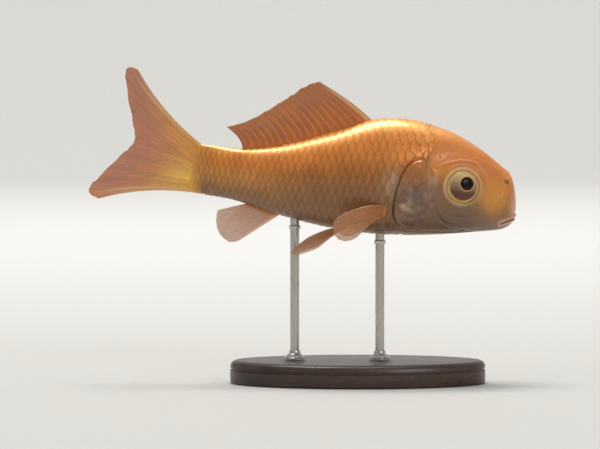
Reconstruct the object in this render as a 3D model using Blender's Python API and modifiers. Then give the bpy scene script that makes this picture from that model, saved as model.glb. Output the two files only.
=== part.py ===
"""A young common goldfish as a still, life-size model on a plain display stand.

Metres, +Z up, the fish faces +X and the origin is the middle of the stand's underside.

The fish is described unbent, in units of its standard length (snout to root of the tail fin):
s runs back from the snout (0) to the tail root (1), y is to the fish's left and z is up from the
body's axis. place() bends that fish sideways, tips it nose down and lifts it onto its rods.
"""

import math

import bmesh
import bpy
import numpy as np
from mathutils import Vector

# ---------------------------------------------------------------- driving dimensions
STANDARD_LENGTH = 0.070
AXIS_HEIGHT = 0.043  # of the body's axis above the floor, over the stand's middle
MIDDLE_S = 0.50  # the s that stands over the stand's middle
NOSE_DOWN = math.radians(6.4)
TAIL_SWEEP = 0.17  # how strongly the tail swings to the fish's left
TAIL_FLICK = 0.35  # how strongly the tail fin lags behind that swing
HEAD_SWEEP = 0.16  # how strongly the head turns to the left

GAP = 0.0003  # between touching solids
GAP_S = GAP / STANDARD_LENGTH

# s: top, bottom, half width, level of the greatest width, fullness above it, fullness below it.
# A fullness of 2 is an ellipse's quarter, more is boxier and less is leaner.
STATIONS = {
    0.00: (0.080, -0.068, 0.045, -0.014, 2.1, 2.1),  # snout
    0.05: (0.109, -0.084, 0.060, 0.002, 2.3, 2.2),  # nostrils
    0.13: (0.160, -0.100, 0.080, 0.018, 2.5, 2.1),  # eyes
    0.23: (0.205, -0.118, 0.097, 0.028, 2.3, 2.0),  # cheeks
    0.34: (0.228, -0.133, 0.107, 0.035, 2.0, 2.1),  # shoulders
    0.46: (0.220, -0.140, 0.105, 0.035, 1.9, 2.2),  # front of the dorsal fin
    0.60: (0.163, -0.134, 0.088, 0.021, 1.9, 2.1),  # belly
    0.76: (0.103, -0.110, 0.061, 0.004, 1.9, 2.0),  # vent
    0.90: (0.077, -0.083, 0.035, -0.002, 2.0, 2.0),  # tail stalk
    1.00: (0.080, -0.079, 0.015, 0.000, 2.2, 2.2),  # tail root
}
NOSE_LENGTH = 0.042  # the snout rounds off over this length
MOUTH_Z = -0.040
AROUND = 32  # facets round the body

GILL_EDGE = 0.400  # where the head ends and the trunk begins
STALK_START = 0.80  # where the trunk ends and the tail stalk begins

EYE_S, EYE_Z = 0.184, 0.040
EYE_RADIUS = 0.056
EYE_DEPTH = 0.034  # half thickness of the eyeball
EYE_SUNK = 0.0185  # how far its middle lies inside the skin
EYE_FORWARD = math.radians(10)  # the eyes look a little ahead

GILL_CENTRE = (0.320, -0.002)  # s, z
GILL_HALF_LENGTH, GILL_HALF_HEIGHT = 0.060, 0.108
GILL_FULLNESS = 2.5  # 2 would be an ellipse
GILL_LEAN = math.radians(9)
GILL_PROUD = 0.003
GILL_DEPTH = 0.022

JAW_LENGTH = 0.105
JAW_DROP = 0.020  # the mouth line falls by this much to the jaw's corner

FIN_ROOT_THICKNESS = 0.0012
FIN_EDGE_SHARE = 0.5  # of the root's thickness

BASE_LENGTH, BASE_WIDTH, BASE_HEIGHT = 0.056, 0.030, 0.005
BASE_EDGE = 0.0010
ROD_S = {"front": 0.415, "rear": 0.685}
ROD_RADIUS = 0.0010
ROD_INSERT = 0.0035  # how far a rod reaches into the belly
FOOT_RADIUS, FOOT_HEIGHT = 0.0024, 0.0012


# ---------------------------------------------------------------- the body's shape
def stations(s):
    """The columns of STATIONS on a smooth curve at s."""
    at = np.array(sorted(STATIONS))
    values = np.array([STATIONS[key] for key in at])
    slopes = np.gradient(values, at, axis=0)
    s = np.asarray(s, float)
    i = np.clip(np.searchsorted(at, s) - 1, 0, len(at) - 2)
    span = (at[i + 1] - at[i])[..., None]
    t = np.clip((s - at[i]) / (at[i + 1] - at[i]), 0, 1)[..., None]
    start = (1 + 2 * t) * (1 - t) ** 2 * values[i] + t * (1 - t) ** 2 * span * slopes[i]
    end = t * t * (3 - 2 * t) * values[i + 1] - t * t * (1 - t) * span * slopes[i + 1]
    return np.moveaxis(start + end, -1, 0)


def rounded(wave, fullness):
    """A sine or cosine bent so that the pair draws a superellipse of that fullness."""
    return np.sign(wave) * np.abs(wave) ** (2 / fullness)


def skin(s, turn, grow=0.0):
    """Unbent points on the body. turn is 0 on the back, pi/2 on the left side and pi on the belly."""
    s, turn = np.broadcast_arrays(np.asarray(s, float), np.asarray(turn, float))
    top, bottom, half, level, above, below = stations(s)
    up = np.cos(turn) >= 0
    fullness = np.where(up, above, below)
    reach = np.where(up, top - level, level - bottom) + grow
    y = (half + grow) * rounded(np.sin(turn), fullness)
    z = level + reach * rounded(np.cos(turn), fullness)
    nose = np.sqrt(1 - (1 - np.clip(s / NOSE_LENGTH, 0, 1)) ** 2)
    return np.stack([s, y * nose, MOUTH_Z + (z - MOUTH_Z) * nose], axis=-1)


def flank_turn(s, z):
    """The turn at which the left side of the body is at height z."""
    turns = np.linspace(0, math.pi, 181)
    heights = skin(s, turns)[:, 2]
    return float(np.interp(-z, -heights, turns))


def sway(s):
    """Sideways shift of the backbone."""
    tail, head, fin = np.clip(s - 0.45, 0, None), np.clip(0.3 - s, 0, None), np.clip(s - 1, 0, None)
    return TAIL_SWEEP * tail**2 + HEAD_SWEEP * head**2 - TAIL_FLICK * fin**2


def place(points):
    """Unbent fish coordinates to metres in the world."""
    s, y, z = np.moveaxis(np.asarray(points, float), -1, 0)
    step = 1e-3
    slope = (sway(s + step) - sway(s - step)) / (2 * step)
    norm = np.sqrt(1 + slope**2)
    ahead = MIDDLE_S - s + y * slope / norm
    left = sway(s) + y / norm
    x = ahead * math.cos(NOSE_DOWN) + z * math.sin(NOSE_DOWN)
    up = z * math.cos(NOSE_DOWN) - ahead * math.sin(NOSE_DOWN)
    world = np.stack([x, left, up], axis=-1) * STANDARD_LENGTH
    return world + np.array([0, 0, AXIS_HEIGHT])


# ---------------------------------------------------------------- Blender helpers
def clear_scene():
    for obj in list(bpy.data.objects):
        bpy.data.objects.remove(obj)


def collection(name):
    made = bpy.data.collections.new(name)
    bpy.context.scene.collection.children.link(made)
    return made


def material(name, colour, roughness, metallic=0.0):
    made = bpy.data.materials.new(name)
    made.use_nodes = True
    shader = made.node_tree.nodes["Principled BSDF"]
    shader.inputs["Base Color"].default_value = (*colour, 1)
    shader.inputs["Roughness"].default_value = roughness
    shader.inputs["Metallic"].default_value = metallic
    return made


def add(name, mesh_builder, target, look=None):
    """A named object whose mesh is a finished bmesh, smooth but for its sharp edges."""
    mesh = bpy.data.meshes.new(name)
    mesh_builder.normal_update()
    bmesh.ops.recalc_face_normals(mesh_builder, faces=mesh_builder.faces)
    mesh_builder.to_mesh(mesh)
    mesh_builder.free()
    obj = bpy.data.objects.new(name, mesh)
    target.objects.link(obj)
    if look is None:
        obj.hide_render = True
        obj.display_type = "WIRE"
    else:
        mesh.materials.append(look)
        mesh.shade_smooth()
        mesh.set_sharp_from_angle(angle=math.radians(35))
    return obj


def boolean(obj, operation, other):
    cut = obj.modifiers.new(operation.title() + " " + other.name, "BOOLEAN")
    cut.operation = operation
    cut.object = other
    cut.solver = "EXACT"


def loft(rings):
    """A closed bmesh through rings of unbent points. A ring of one point closes an end to a tip."""
    made = bmesh.new()
    loops = [[made.verts.new(p) for p in place(ring)] for ring in rings]
    for first, second in zip(loops, loops[1:]):
        for i in range(max(len(first), len(second))):
            quad = [first[i % len(first)], first[(i + 1) % len(first)]]
            quad += [second[(i + 1) % len(second)], second[i % len(second)]]
            made.faces.new(list(dict.fromkeys(quad)))
    for end in (loops[0], loops[-1]):
        if len(end) > 1:
            made.faces.new(end)
    return made


def body_length(start, end, rings, grow=0.0):
    """The body between two stations. One that starts at 0 has the rounded snout."""
    turns = np.linspace(0, 2 * math.pi, AROUND, endpoint=False)
    if start > 0:
        return loft([skin(s, turns, grow) for s in np.linspace(start, end, rings)])
    nose = NOSE_LENGTH * (1 - np.cos(np.linspace(0, math.pi / 2, 6)[1:]))
    rest = np.linspace(NOSE_LENGTH, end, rings - 5)[1:]
    return loft([skin([0], 0)] + [skin(s, turns, grow) for s in (*nose, *rest)])


def eyeball(side, grow):
    """A flattened ball at one eye's place. side is 1 for the left eye and -1 for the right."""
    made = bmesh.new()
    bmesh.ops.create_uvsphere(made, u_segments=20, v_segments=10, radius=1)
    y = skin(EYE_S, flank_turn(EYE_S, EYE_Z))[1] - EYE_SUNK
    turn = -EYE_FORWARD * side
    for vertex in made.verts:
        # The ball's pole, its +Z, becomes the way the eye looks.
        along = Vector((vertex.co.x * (EYE_RADIUS + grow), vertex.co.z * (EYE_DEPTH + grow) * side))
        s = EYE_S - (along.x * math.cos(turn) - along.y * math.sin(turn))
        out = along.x * math.sin(turn) + along.y * math.cos(turn)
        vertex.co = Vector(place((s, y * side + out, EYE_Z + vertex.co.y * (EYE_RADIUS + grow))))
    return made


def gill_prism(side, grow, inner=0.02, outer=0.16):
    """A drum through one side of the head, in the outline of the gill cover."""
    rings = []
    angle = np.linspace(0, 2 * math.pi, 24, endpoint=False)
    back = rounded(np.cos(angle), GILL_FULLNESS) * (GILL_HALF_LENGTH + grow)
    up = rounded(np.sin(angle), GILL_FULLNESS) * (GILL_HALF_HEIGHT + grow)
    s = GILL_CENTRE[0] + back * math.cos(GILL_LEAN) - up * math.sin(GILL_LEAN)
    z = GILL_CENTRE[1] + back * math.sin(GILL_LEAN) + up * math.cos(GILL_LEAN)
    for y in (inner, outer):
        rings.append(np.stack([s, np.full_like(s, y * side), z], axis=-1))
    return loft(rings)


def jaw_wedge(grow):
    """The space under the mouth line, right across the head, that holds the lower jaw."""
    front, deep, wide = -0.05, -0.2, 0.2
    corner = (JAW_LENGTH + grow, MOUTH_Z - JAW_DROP + grow)
    outline = [(front, MOUTH_Z + grow), corner, (JAW_LENGTH + 0.03 + grow, deep), (front, deep)]
    return loft([[(s, y, z) for s, z in outline] for y in (-wide, wide)])


def drum(centre, radius, low, high, segments=16):
    """An upright round bar."""
    made = bmesh.new()
    bmesh.ops.create_cone(
        made, cap_ends=True, segments=segments, radius1=radius, radius2=radius, depth=high - low
    )
    bmesh.ops.translate(made, verts=made.verts, vec=(*centre, (low + high) / 2))
    return made


# ---------------------------------------------------------------- head, trunk and tail stalk
def make_guides(helpers):
    """The hidden solids that cut the head and the trunk."""
    add("gill_outside", body_length(0, GILL_EDGE + 0.05, 16, GILL_PROUD), helpers)
    add("gill_inside", body_length(0, GILL_EDGE + 0.05, 16, -GILL_DEPTH), helpers)
    add("gill_pocket_floor", body_length(0, GILL_EDGE + 0.05, 16, -GILL_DEPTH - GAP_S), helpers)
    add("jaw_space", jaw_wedge(GAP_S), helpers)
    for name, side in (("left", 1), ("right", -1)):
        add("eye_socket_" + name, eyeball(side, GAP_S), helpers)
        pocket = add("gill_pocket_" + name, gill_prism(side, GAP_S), helpers)
        boolean(pocket, "DIFFERENCE", bpy.data.objects["gill_pocket_floor"])


def make_head(part, helpers, look):
    head = add("head", body_length(0, GILL_EDGE - GAP_S / 2, 17), part, look)
    cutters = ["jaw_space"]
    cutters += [kind + side for kind in ("eye_socket_", "gill_pocket_") for side in ("left", "right")]
    for cutter in cutters:
        boolean(head, "DIFFERENCE", bpy.data.objects[cutter])
    jaw = add("lower_jaw", jaw_wedge(0), part, look)
    throat = add("throat", body_length(0, GILL_EDGE, 17), helpers)
    boolean(jaw, "INTERSECT", throat)


def make_gill_covers(part, look):
    for name, side in (("left", 1), ("right", -1)):
        cover = add("gill_cover_" + name, gill_prism(side, 0), part, look)
        boolean(cover, "INTERSECT", bpy.data.objects["gill_outside"])
        boolean(cover, "DIFFERENCE", bpy.data.objects["gill_inside"])


def rod_top(s):
    """The world point on the belly's midline over which a rod stands."""
    return place(skin(s, math.pi))


def make_trunk(part, helpers, look):
    trunk = add("trunk", body_length(GILL_EDGE + GAP_S / 2, STALK_START - GAP_S / 2, 13), part, look)
    for name, s in ROD_S.items():
        x, y, z = rod_top(s)
        high = z + ROD_INSERT + GAP
        bore = add("bore_" + name, drum((x, y), ROD_RADIUS + GAP, z - 0.01, high), helpers)
        boolean(trunk, "DIFFERENCE", bore)
    add("tail_stalk", body_length(STALK_START + GAP_S / 2, 1.0, 7), part, look)


# ---------------------------------------------------------------- fins
def curve(points, t):
    """A Bezier curve of any number of control points, at the values t."""
    t = np.asarray(t, float)[..., None]
    degree = len(points) - 1
    terms = [
        math.comb(degree, i) * t**i * (1 - t) ** (degree - i) * np.asarray(point, float)
        for i, point in enumerate(points)
    ]
    return sum(terms)


def fin_object(name, sheet, part, look, across, along):
    """A fin as an open sheet, thick at the root and thin at the edge.

    sheet(u, v) gives unbent points: u runs over the rays from front to rear, v from root to tip.
    """
    made = bmesh.new()
    bmesh.ops.create_grid(made, x_segments=across, y_segments=along, size=1)
    u = np.array([(vertex.co.x + 1) / 2 for vertex in made.verts])
    v = np.array([(vertex.co.y + 1) / 2 for vertex in made.verts])
    for vertex, point in zip(made.verts, place(sheet(u, v))):
        vertex.co = point
    fin = add(name, made, part, look)
    fin.vertex_groups.new(name="root")
    for index, height in enumerate(v):
        fin.vertex_groups["root"].add([index], 1 - float(height), "REPLACE")
    solidify = fin.modifiers.new("Thickness", "SOLIDIFY")
    solidify.thickness = FIN_ROOT_THICKNESS
    solidify.offset = 0
    solidify.vertex_group = "root"
    solidify.thickness_vertex_group = FIN_EDGE_SHARE
    return fin


def midline_root(start, end, turn, u):
    """Points just off the back's or the belly's midline, between two stations."""
    return skin(start + (end - start) * u, turn, GAP_S)


def dorsal_sheet(u, v):
    root = midline_root(0.480, 0.872, 0.0, u)
    tip = curve([(0.660, 0, 0.316), (0.735, 0, 0.292), (0.81, 0, 0.176), (0.930, 0, 0.142)], u)
    points = root + (tip - root) * v[:, None]
    points[:, 0] -= 0.013 * np.sin(math.pi * v)  # the rays stand up first, and then lean back
    points[:, 1] += 0.006 * v * np.sin(5 * u)
    return points


def anal_sheet(u, v):
    root = midline_root(0.735, 0.845, math.pi, u)
    tip = curve([(0.850, 0, -0.208), (0.905, 0, -0.246), (0.945, 0, -0.172), (0.928, 0, -0.122)], u)
    points = root + (tip - root) * v[:, None]
    points[:, 1] += 0.010 * v * np.sin(3 * u + 0.6)
    return points


TAIL_ROOT_Z = 0.077  # half height of the tail fin's root
TAIL_EDGE_LENGTH, TAIL_MIDDLE_LENGTH = 0.378, 0.225
TAIL_UPPER_ANGLE, TAIL_LOWER_ANGLE = math.radians(43), math.radians(-10)


def tail_sheet(u, v):
    """The whole tail fin: u is 0 on its upper edge and 1 on its lower one."""
    off_middle = np.abs(2 * u - 1)
    tip_round = 1 - 0.17 * np.clip((off_middle - 0.8) / 0.2, 0, 1) ** 2.5
    extra = TAIL_EDGE_LENGTH - TAIL_MIDDLE_LENGTH
    length = (TAIL_MIDDLE_LENGTH + extra * off_middle**1.35) * tip_round
    angle = TAIL_UPPER_ANGLE + (TAIL_LOWER_ANGLE - TAIL_UPPER_ANGLE) * u
    lean = (TAIL_UPPER_ANGLE + TAIL_LOWER_ANGLE) / 2
    # Each ray sets off near the tail's middle line and bends outwards to its own angle.
    bent = lean + (angle - lean) * (0.55 + 0.45 * v)
    s = 1.0 + GAP_S + length * v * np.cos(bent)
    z = TAIL_ROOT_Z * (1 - 2 * u) + length * v * np.sin(bent)
    y = 0.012 * v**2 * np.sin(6 * u)
    return np.stack([s, y, z], axis=-1)


def tail_lobe(upper):
    """One half of the tail fin. Its grid is finer towards the outer edge, where the tip rounds off."""
    half = 0.5 - GAP_S

    def sheet(u, v):
        if upper:
            return tail_sheet(half * u**1.6, v)
        return tail_sheet(1 - half * (1 - u) ** 1.6, v)

    return sheet


def paired_sheet(root_ends, tip_points, side, arch):
    """A pectoral or pelvic fin from two places on the flank, given as (s, turn), to its free edge."""

    def sheet(u, v):
        (s0, turn0), (s1, turn1) = root_ends
        s, turn = s0 + (s1 - s0) * u, turn0 + (turn1 - turn0) * u
        root = skin(s, turn, 3 * GAP_S)
        tip = curve(tip_points, u)
        points = root + (tip - root) * v[:, None]
        points[:, 2] += arch * np.sin(math.pi * v)
        return points * np.array([1, side, 1])

    return sheet


PECTORAL_ROOT = ((0.408, 2.02), (0.412, 2.30))
PECTORAL_EDGE = (
    (0.530, 0.185, -0.078),
    (0.600, 0.214, -0.108),
    (0.545, 0.150, -0.208),
    (0.484, 0.110, -0.148),
)
PELVIC_ROOT = ((0.498, 2.62), (0.520, 2.86))
PELVIC_EDGE = (
    (0.600, 0.098, -0.200),
    (0.680, 0.110, -0.245),
    (0.712, 0.060, -0.240),
    (0.640, 0.034, -0.176),
)


def make_fins(part, look):
    fin_object("dorsal_fin", dorsal_sheet, part, look, 14, 6)
    fin_object("anal_fin", anal_sheet, part, look, 8, 5)
    fin_object("tail_fin_upper_lobe", tail_lobe(True), part, look, 11, 8)
    fin_object("tail_fin_lower_lobe", tail_lobe(False), part, look, 11, 8)
    for name, side in (("left", 1), ("right", -1)):
        pectoral = paired_sheet(PECTORAL_ROOT, PECTORAL_EDGE, side, 0.010)
        fin_object("pectoral_fin_" + name, pectoral, part, look, 8, 6)
        pelvic = paired_sheet(PELVIC_ROOT, PELVIC_EDGE, side, 0.008)
        fin_object("pelvic_fin_" + name, pelvic, part, look, 7, 5)


# ---------------------------------------------------------------- eyes and stand
def make_eyes(part, look):
    for name, side in (("left", 1), ("right", -1)):
        add("eye_" + name, eyeball(side, 0), part, look)


def turned(name, profile, part, look, segments=16):
    """A turned piece round the Z axis from its outer profile, top to bottom."""
    made = bmesh.new()
    points = [made.verts.new((radius, 0, height)) for radius, height in profile]
    for first, second in zip(points, points[1:]):
        made.edges.new((first, second))
    mesh = bpy.data.meshes.new(name)
    made.to_mesh(mesh)
    made.free()
    obj = bpy.data.objects.new(name, mesh)
    part.objects.link(obj)
    mesh.materials.append(look)
    screw = obj.modifiers.new("Turn", "SCREW")
    screw.steps = screw.render_steps = segments
    screw.use_merge_vertices = True
    screw.merge_threshold = 0.00001
    return obj


def make_stand(part, wood, metal):
    base = drum((0, 0), 0.5, 0, BASE_HEIGHT, segments=48)
    bmesh.ops.scale(base, verts=base.verts, vec=(BASE_LENGTH, BASE_WIDTH, 1))
    plate = add("stand_base", base, part, wood)
    bevel = plate.modifiers.new("Edge", "BEVEL")
    bevel.width = BASE_EDGE
    bevel.segments = 2
    bevel.limit_method = "ANGLE"
    for name, s in ROD_S.items():
        x, y, z = rod_top(s)
        foot = BASE_HEIGHT + GAP
        profile = [(0, z + ROD_INSERT), (ROD_RADIUS, z + ROD_INSERT), (ROD_RADIUS, foot + FOOT_HEIGHT)]
        profile += [(FOOT_RADIUS, foot + FOOT_HEIGHT / 2), (FOOT_RADIUS, foot), (0, foot)]
        rod = turned("stand_rod_" + name, profile, part, metal)
        rod.location = (x, y, 0)


def main():
    clear_scene()
    part = collection("goldfish")
    helpers = collection("guides")
    helpers.hide_render = True
    gold = material("goldfish_skin", (0.72, 0.27, 0.06), 0.35, 0.2)
    cheek = material("goldfish_gill_cover", (0.42, 0.28, 0.20), 0.30, 0.4)
    fin = material("goldfish_fin", (0.75, 0.36, 0.15), 0.45)
    eye = material("goldfish_eye", (0.05, 0.03, 0.02), 0.05)
    wood = material("stand_wood", (0.06, 0.03, 0.018), 0.45)
    metal = material("stand_metal", (0.55, 0.52, 0.48), 0.25, 1.0)
    make_guides(helpers)
    make_head(part, helpers, gold)
    make_gill_covers(part, cheek)
    make_trunk(part, helpers, gold)
    make_eyes(part, eye)
    make_fins(part, fin)
    make_stand(part, wood, metal)


main()
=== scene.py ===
"""The looks of a young goldfish on its display stand: skin, scales, eyes, fins, stand, studio and camera.

Metres, +Z up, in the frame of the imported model: the fish faces +X over the middle of its stand.

The fish is shaped unbent, in units of its standard length, as its solids are: s runs back from the
snout (0) to the tail root (1), y is to the fish's left and z is up from the body's axis. Turn goes round
the body, from 0 on the back through pi/2 on the left side to pi on the belly. Reliefs, coat depths and
fin sheets are all worked out there, and place() bends, tips and lifts the result into the world.
"""

import math

import bpy
import numpy as np
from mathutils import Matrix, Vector


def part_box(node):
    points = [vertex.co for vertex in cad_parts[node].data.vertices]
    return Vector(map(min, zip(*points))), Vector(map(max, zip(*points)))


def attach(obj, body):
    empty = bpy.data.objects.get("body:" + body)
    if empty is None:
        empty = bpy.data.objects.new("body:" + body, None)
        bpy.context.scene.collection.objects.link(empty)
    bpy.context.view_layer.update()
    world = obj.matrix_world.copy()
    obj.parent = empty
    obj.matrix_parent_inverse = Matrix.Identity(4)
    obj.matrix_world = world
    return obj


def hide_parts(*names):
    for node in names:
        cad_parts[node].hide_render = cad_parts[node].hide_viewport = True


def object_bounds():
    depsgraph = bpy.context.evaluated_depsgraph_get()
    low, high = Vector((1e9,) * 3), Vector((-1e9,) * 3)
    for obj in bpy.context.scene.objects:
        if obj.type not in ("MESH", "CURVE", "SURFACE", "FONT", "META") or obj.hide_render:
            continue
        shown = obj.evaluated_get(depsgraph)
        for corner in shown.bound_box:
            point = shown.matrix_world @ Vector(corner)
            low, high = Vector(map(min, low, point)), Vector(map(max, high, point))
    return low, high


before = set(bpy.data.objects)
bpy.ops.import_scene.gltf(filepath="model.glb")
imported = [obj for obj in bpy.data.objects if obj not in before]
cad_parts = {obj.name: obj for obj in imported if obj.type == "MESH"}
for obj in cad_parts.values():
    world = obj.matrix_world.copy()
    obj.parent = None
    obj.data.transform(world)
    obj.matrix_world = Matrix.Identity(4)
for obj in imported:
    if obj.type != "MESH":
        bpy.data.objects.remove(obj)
cad_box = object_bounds()

# -------- sizes shared with the solids
STANDARD_LENGTH = 0.070
AXIS_HEIGHT = 0.043
MIDDLE_S = 0.50
NOSE_DOWN = math.radians(6.4)
TAIL_SWEEP, TAIL_FLICK, HEAD_SWEEP = 0.17, 0.35, 0.16

# s: top, bottom, half width, level of the greatest width, fullness above it, fullness below it
STATIONS = {
    0.00: (0.080, -0.068, 0.045, -0.014, 2.1, 2.1),
    0.05: (0.109, -0.084, 0.060, 0.002, 2.3, 2.2),
    0.13: (0.160, -0.100, 0.080, 0.018, 2.5, 2.1),
    0.23: (0.205, -0.118, 0.097, 0.028, 2.3, 2.0),
    0.34: (0.228, -0.133, 0.107, 0.035, 2.0, 2.1),
    0.46: (0.220, -0.140, 0.105, 0.035, 1.9, 2.2),
    0.60: (0.163, -0.134, 0.088, 0.021, 1.9, 2.1),
    0.76: (0.103, -0.110, 0.061, 0.004, 1.9, 2.0),
    0.90: (0.077, -0.083, 0.035, -0.002, 2.0, 2.0),
    1.00: (0.080, -0.079, 0.015, 0.000, 2.2, 2.2),
}
NOSE_LENGTH = 0.042
MOUTH_Z = -0.040
EYE_S, EYE_Z = 0.184, 0.040
EYE_RADIUS, EYE_DEPTH, EYE_SUNK = 0.056, 0.034, 0.0185
EYE_FORWARD = math.radians(10)
GILL_CENTRE = (0.320, -0.002)
GILL_HALF_LENGTH, GILL_HALF_HEIGHT, GILL_FULLNESS = 0.060, 0.108, 2.5
GILL_LEAN = math.radians(9)
TAIL_ROOT_Z = 0.077
PECTORAL_ROOT = ((0.408, 2.02), (0.412, 2.30))
PELVIC_ROOT = ((0.498, 2.62), (0.520, 2.86))

# -------- sizes of the skin alone
MM = 0.001 / STANDARD_LENGTH  # one millimetre in the fish's own units
GILL_RADIUS = 0.080  # about how far the gill cover's outline is from its centre
COAT_DEPTH = 0.20 * MM  # how far the skin lies inside the solids where scales cover it
TAIL_WEDGE = 0.056  # the flesh runs on over the tail fin's root by this much
TAIL_WEDGE_HOLLOW = 0.50  # the share of it that the middle of the tail's root lacks
TAIL_WEDGE_TAPER = 1.1  # how fast it grows less high
TAIL_RAYS = 22
HEAD_END = 0.42  # where the head's relief has died away


# -------- curves and the body's shape
def stack(*values):
    """Values side by side, as vectors along a new last axis."""
    return np.stack(np.broadcast_arrays(*values), axis=-1)


def hump(distance, width):
    return np.exp(-((distance / width) ** 2))


def ease(x, low, high):
    """A smooth rise from 0 at low to 1 at high. It falls where high is below low."""
    t = np.clip((x - low) / (high - low), 0, 1)
    return t * t * (3 - 2 * t)


def unit_cross(one, other):
    """Unit vectors square to both."""
    out = np.cross(one, other)
    return out / np.linalg.norm(out, axis=-1, keepdims=True)


def curve(points, t):
    """A Bezier curve of any number of control points, at the values t."""
    t = np.asarray(t, float)[..., None]
    degree = len(points) - 1
    terms = [
        math.comb(degree, i) * t**i * (1 - t) ** (degree - i) * np.asarray(point, float)
        for i, point in enumerate(points)
    ]
    return sum(terms)


def stations(s):
    """The columns of STATIONS on a smooth curve at s."""
    at = np.array(sorted(STATIONS))
    values = np.array([STATIONS[key] for key in at])
    slopes = np.gradient(values, at, axis=0)
    s = np.asarray(s, float)
    i = np.clip(np.searchsorted(at, s) - 1, 0, len(at) - 2)
    span = (at[i + 1] - at[i])[..., None]
    t = np.clip((s - at[i]) / (at[i + 1] - at[i]), 0, 1)[..., None]
    start = (1 + 2 * t) * (1 - t) ** 2 * values[i] + t * (1 - t) ** 2 * span * slopes[i]
    end = t * t * (3 - 2 * t) * values[i + 1] - t * t * (1 - t) * span * slopes[i + 1]
    return np.moveaxis(start + end, -1, 0)


def rounded(wave, fullness):
    """A sine or cosine bent so that the pair draws a superellipse of that fullness."""
    return np.sign(wave) * np.abs(wave) ** (2 / fullness)


def body(s, turn):
    """Unbent points on the outside of the solids."""
    s, turn = np.broadcast_arrays(np.asarray(s, float), np.asarray(turn, float))
    top, bottom, half, level, above, below = stations(s)
    up = np.cos(turn) >= 0
    fullness = np.where(up, above, below)
    reach = np.where(up, top - level, level - bottom)
    y = half * rounded(np.sin(turn), fullness)
    z = level + reach * rounded(np.cos(turn), fullness)
    nose = np.sqrt(1 - (1 - np.clip(s / NOSE_LENGTH, 0, 1)) ** 2)
    behind = np.clip(s - 1, 0, None)
    wedge = 1 - 0.97 * ease(behind, 0, TAIL_WEDGE)
    s = s - TAIL_WEDGE_HOLLOW * behind * (1 - (z / top) ** 2)
    z = z * (1 - TAIL_WEDGE_TAPER * behind)
    return stack(s, y * nose * wedge, MOUTH_Z + (z - MOUTH_Z) * nose)


def normals(s, turn):
    """Unit vectors out of the body, unbent."""
    step = 4e-4
    back = body(s + step, turn) - body(np.maximum(s - step, 0), turn)
    around = body(s, turn + step) - body(s, turn - step)
    return unit_cross(back, around)


def flank_turn(s, z):
    """The turn at which the left side of the body is at height z."""
    turns = np.linspace(0, math.pi, 181)
    return float(np.interp(-z, -body(s, turns)[:, 2], turns))


def sway(s):
    """Sideways shift of the backbone."""
    tail, head, fin = np.clip(s - 0.45, 0, None), np.clip(0.3 - s, 0, None), np.clip(s - 1, 0, None)
    return TAIL_SWEEP * tail**2 + HEAD_SWEEP * head**2 - TAIL_FLICK * fin**2


def place(points):
    """Unbent fish coordinates to metres in the world."""
    s, y, z = np.moveaxis(np.asarray(points, float), -1, 0)
    step = 1e-3
    slope = (sway(s + step) - sway(s - step)) / (2 * step)
    norm = np.sqrt(1 + slope**2)
    ahead = MIDDLE_S - s + y * slope / norm
    left = sway(s) + y / norm
    x = ahead * math.cos(NOSE_DOWN) + z * math.sin(NOSE_DOWN)
    up = z * math.cos(NOSE_DOWN) - ahead * math.sin(NOSE_DOWN)
    return stack(x, left, up) * STANDARD_LENGTH + np.array([0, 0, AXIS_HEIGHT])


# -------- meshes from grids
def grid_faces(rows, columns, closed):
    """The quads of a grid of points, row by row. closed joins the last column to the first."""
    row, column = np.meshgrid(np.arange(rows - 1), np.arange(columns - (not closed)), indexing="ij")
    here = row * columns + column
    beside = row * columns + (column + 1) % columns
    return stack(here, beside, beside + columns, here + columns).reshape(-1, 4)


def capped(rows, columns):
    """The faces of a closed tube of rings, with its two ends filled."""
    last = (rows - 1) * columns
    faces = grid_faces(rows, columns, True).tolist()
    return faces + [list(range(columns - 1, -1, -1)), list(range(last, last + columns))]


def turned(radius, height, columns, squash=0.0):
    """Rings of points round the upright axis. squash is how much less they reach along Y."""
    angle = np.linspace(0, 2 * math.pi, columns, endpoint=False)
    x, y = radius[:, None] * np.cos(angle), (radius[:, None] - squash) * np.sin(angle)
    return stack(x, y, height[:, None])


def add_object(name, data):
    obj = bpy.data.objects.new(name, data)
    bpy.context.scene.collection.objects.link(obj)
    return obj


def add_mesh(name, points, faces, look):
    """A smooth mesh object of one material."""
    mesh = bpy.data.meshes.new(name)
    mesh.from_pydata(points.reshape(-1, 3).tolist(), [], faces)
    mesh.materials.append(look)
    mesh.shade_smooth()
    return add_object(name, mesh)


def build(name, points, faces, look):
    """A named piece that rides on the fish's one body."""
    piece = add_mesh(name, points, faces, look)
    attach(piece, "root")
    return piece


def store(obj, name, values):
    """A value, a vector or a colour for each point, for the materials to read."""
    values = np.asarray(values, np.float32).reshape(len(obj.data.vertices), -1)
    if values.shape[1] == 1:
        obj.data.attributes.new(name, "FLOAT", "POINT").data.foreach_set("value", values.ravel())
    else:
        made = obj.data.attributes.new(name, "FLOAT_VECTOR", "POINT")
        made.data.foreach_set("vector", values.ravel())


def unwrap(obj, uv):
    """The map that a bake uses, from one place for each face corner."""
    made = obj.data.uv_layers.new(name="OFBake")
    made.uv.foreach_set("vector", np.asarray(uv, np.float32).ravel())


def inset(share):
    """A share of the map's width or height, kept clear of its edges."""
    return 0.02 + 0.96 * share


def corners(obj):
    """The point at each face corner."""
    index = np.empty(len(obj.data.loops), np.int32)
    obj.data.loops.foreach_get("vertex_index", index)
    return index


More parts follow.
